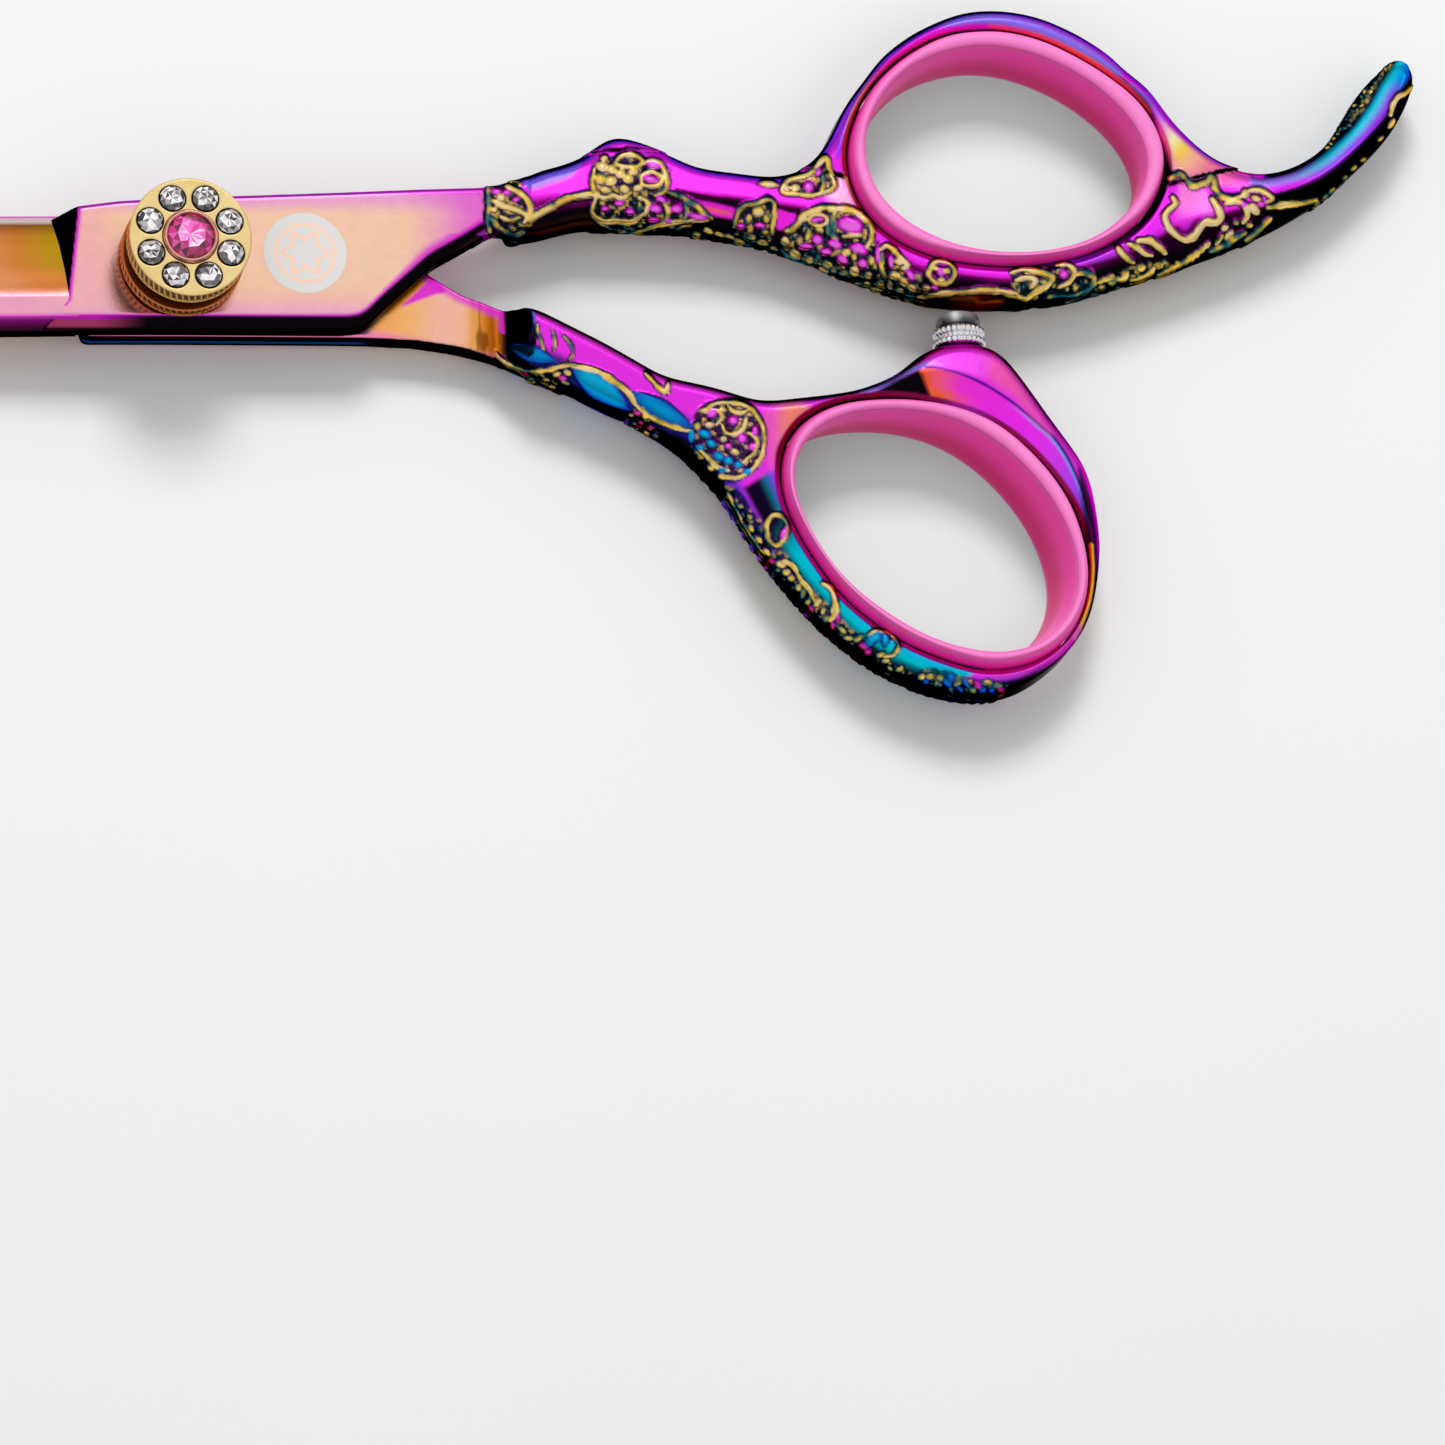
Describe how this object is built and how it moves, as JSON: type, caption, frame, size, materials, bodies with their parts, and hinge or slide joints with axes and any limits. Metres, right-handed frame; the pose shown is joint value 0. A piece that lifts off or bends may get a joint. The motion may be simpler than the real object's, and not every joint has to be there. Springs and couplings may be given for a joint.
{
  "type": "hair cutting shears",
  "caption": "Hair cutting shears with crossed convex-edge blades, offset rings with soft inserts, a curved finger rest, an adjustable jewelled pivot knob and a ring bumper.",
  "frame": {"origin": "on the pivot axis, at the plane the closed shears lie on (the back face of the pivot bolt head)", "axes": "+Z along the pivot axis towards the tension knob, -X along the closed blades towards the tips, +Y towards the finger ring side"},
  "size_m": [0.1747, 0.0604, 0.0134],
  "materials": {
    "coated_steel": "mirror-polished stainless steel with a rainbow interference coating running from peach and magenta to violet, blue and gold",
    "soft_insert": "satin translucent pink elastomer",
    "plain_steel": "fine turned steel",
    "washer_plastic": "smooth white bearing plastic",
    "knob_gold": "knurled gold-toned metal, slightly tarnished in the recesses",
    "pink_gem": "faceted glossy pink stone",
    "clear_stone": "faceted clear stone",
    "bumper_steel": "beaded bright metal collar",
    "bumper_cap": "smoky clear plastic dome"
  },
  "bodies": {
    "finger_side": {"finger_blade": "coated_steel", "finger_ring_insert": "soft_insert", "pivot_bolt": "plain_steel", "blade_washer": "washer_plastic", "click_washer": "plain_steel", "spring_washer": "plain_steel"},
    "thumb_side": {"thumb_blade": "coated_steel", "thumb_ring_insert": "soft_insert", "bumper_stud": "plain_steel", "bumper_sleeve": "bumper_steel", "bumper_dome": "bumper_cap"},
    "thrust": {"thrust_washer": "plain_steel"},
    "knob": {"tension_dial": "knob_gold", "knob_cap": "knob_gold", "gem_bezel": "knob_gold", "centre_gem": "pink_gem", "clear_stone_1": "clear_stone", "clear_stone_2": "clear_stone", "clear_stone_3": "clear_stone", "clear_stone_4": "clear_stone", "clear_stone_5": "clear_stone", "clear_stone_6": "clear_stone", "clear_stone_7": "clear_stone", "clear_stone_8": "clear_stone"}
  },
  "joints": [
    {"name": "blade_pivot", "type": "hinge", "parent": "finger_side", "child": "thumb_side", "pos_m": [0, 0, 0.0037], "axis": [0, 0, -1], "range_deg": [0, 100]},
    {"name": "thrust_slide", "type": "slide", "parent": "finger_side", "child": "thrust", "axis": [0, 0, -1], "range_m": [-0.00025, 0.00025], "deforming": ["spring_washer"]},
    {"name": "knob_turn", "type": "hinge", "parent": "thrust", "child": "knob", "pos_m": [0, 0, 0.0037], "axis": [0, 0, -1], "range_deg": [-180, 180]}
  ],
  "couplings": [
    {"joint": "knob_turn", "follows": "thrust_slide", "rad_per_m": 12566}
  ]
}
